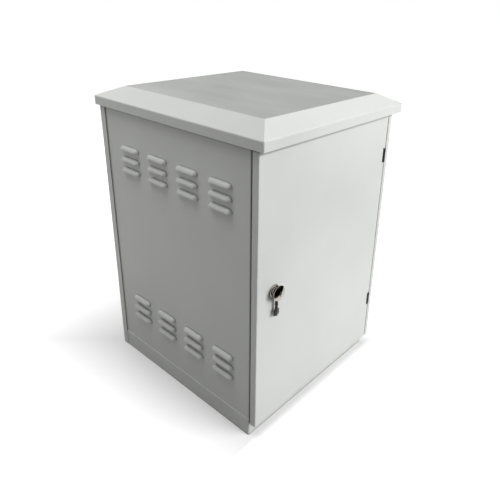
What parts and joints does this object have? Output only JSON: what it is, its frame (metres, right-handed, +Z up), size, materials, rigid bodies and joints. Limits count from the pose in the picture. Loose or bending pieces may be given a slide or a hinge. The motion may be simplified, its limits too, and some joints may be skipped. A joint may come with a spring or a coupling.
{
  "type": "roadside utility cabinet",
  "caption": "Free-standing sheet-steel roadside cabinet with a hinged lockable door, louvred sides, hipped roof and anchored plinth, for housing electrical or telecom gear.",
  "frame": {"origin": "middle of the plinth on the ground, which is the centre of the anchor hole pattern", "axes": "+X to the right seen from the door side, +Y towards the back, +Z up"},
  "size_m": [0.622, 0.6941, 0.933],
  "materials": {
    "light_grey_powder_coat": "semi-gloss",
    "zinc_plated_steel": "satin",
    "black_hinge_finish": "satin",
    "chrome_plate": "polished",
    "black_rubber": "matte",
    "plain_brass": "satin"
  },
  "bodies": {
    "cabinet": {"base_plinth": "light_grey_powder_coat", "left_side_panel": "light_grey_powder_coat", "left_side_frame": "light_grey_powder_coat", "right_side_panel": "light_grey_powder_coat", "right_side_frame": "light_grey_powder_coat", "rear_panel": "light_grey_powder_coat", "door_frame": "light_grey_powder_coat", "hinge_post": "light_grey_powder_coat", "roof_cap": "light_grey_powder_coat", "gland_plate": "zinc_plated_steel", "gland_plate_screws": "zinc_plated_steel", "rear_panel_screws": "zinc_plated_steel", "lock_keeper": "zinc_plated_steel", "roof_bearers": "zinc_plated_steel", "roof_bolts": "zinc_plated_steel", "roof_nuts": "zinc_plated_steel", "gear_rails": "zinc_plated_steel", "gear_plate": "zinc_plated_steel", "gear_plate_bolts": "zinc_plated_steel", "gear_plate_nuts": "zinc_plated_steel", "upper_hinge_pin": "zinc_plated_steel", "lower_hinge_pin": "zinc_plated_steel", "upper_hinge_post_half": "black_hinge_finish", "lower_hinge_post_half": "black_hinge_finish", "cable_grommet_left": "black_rubber", "cable_grommet_middle": "black_rubber", "cable_grommet_right": "black_rubber", "earth_stud": "plain_brass", "earth_nuts": "plain_brass"},
    "door": {"door_panel": "light_grey_powder_coat", "door_stiffener": "light_grey_powder_coat", "door_seal": "black_rubber", "upper_hinge_door_half": "black_hinge_finish", "lower_hinge_door_half": "black_hinge_finish", "hinge_studs": "zinc_plated_steel", "hinge_nuts": "zinc_plated_steel", "lock_housing": "chrome_plate", "lock_nut": "zinc_plated_steel", "key_ring": "zinc_plated_steel", "hung_key": "chrome_plate"},
    "latch": {"turn_knob": "chrome_plate", "lock_cam": "zinc_plated_steel", "cam_screw": "zinc_plated_steel"}
  },
  "joints": [
    {"name": "door_hinge", "type": "hinge", "parent": "cabinet", "child": "door", "pos_m": [0.276, -0.3401, 0.475], "axis": [0, 0, 1], "range_deg": [0, 120]},
    {"name": "latch_turn", "type": "hinge", "parent": "door", "child": "latch", "pos_m": [-0.234, -0.3426, 0.477], "axis": [0, -1, 0], "range_deg": [0, 90]}
  ]
}
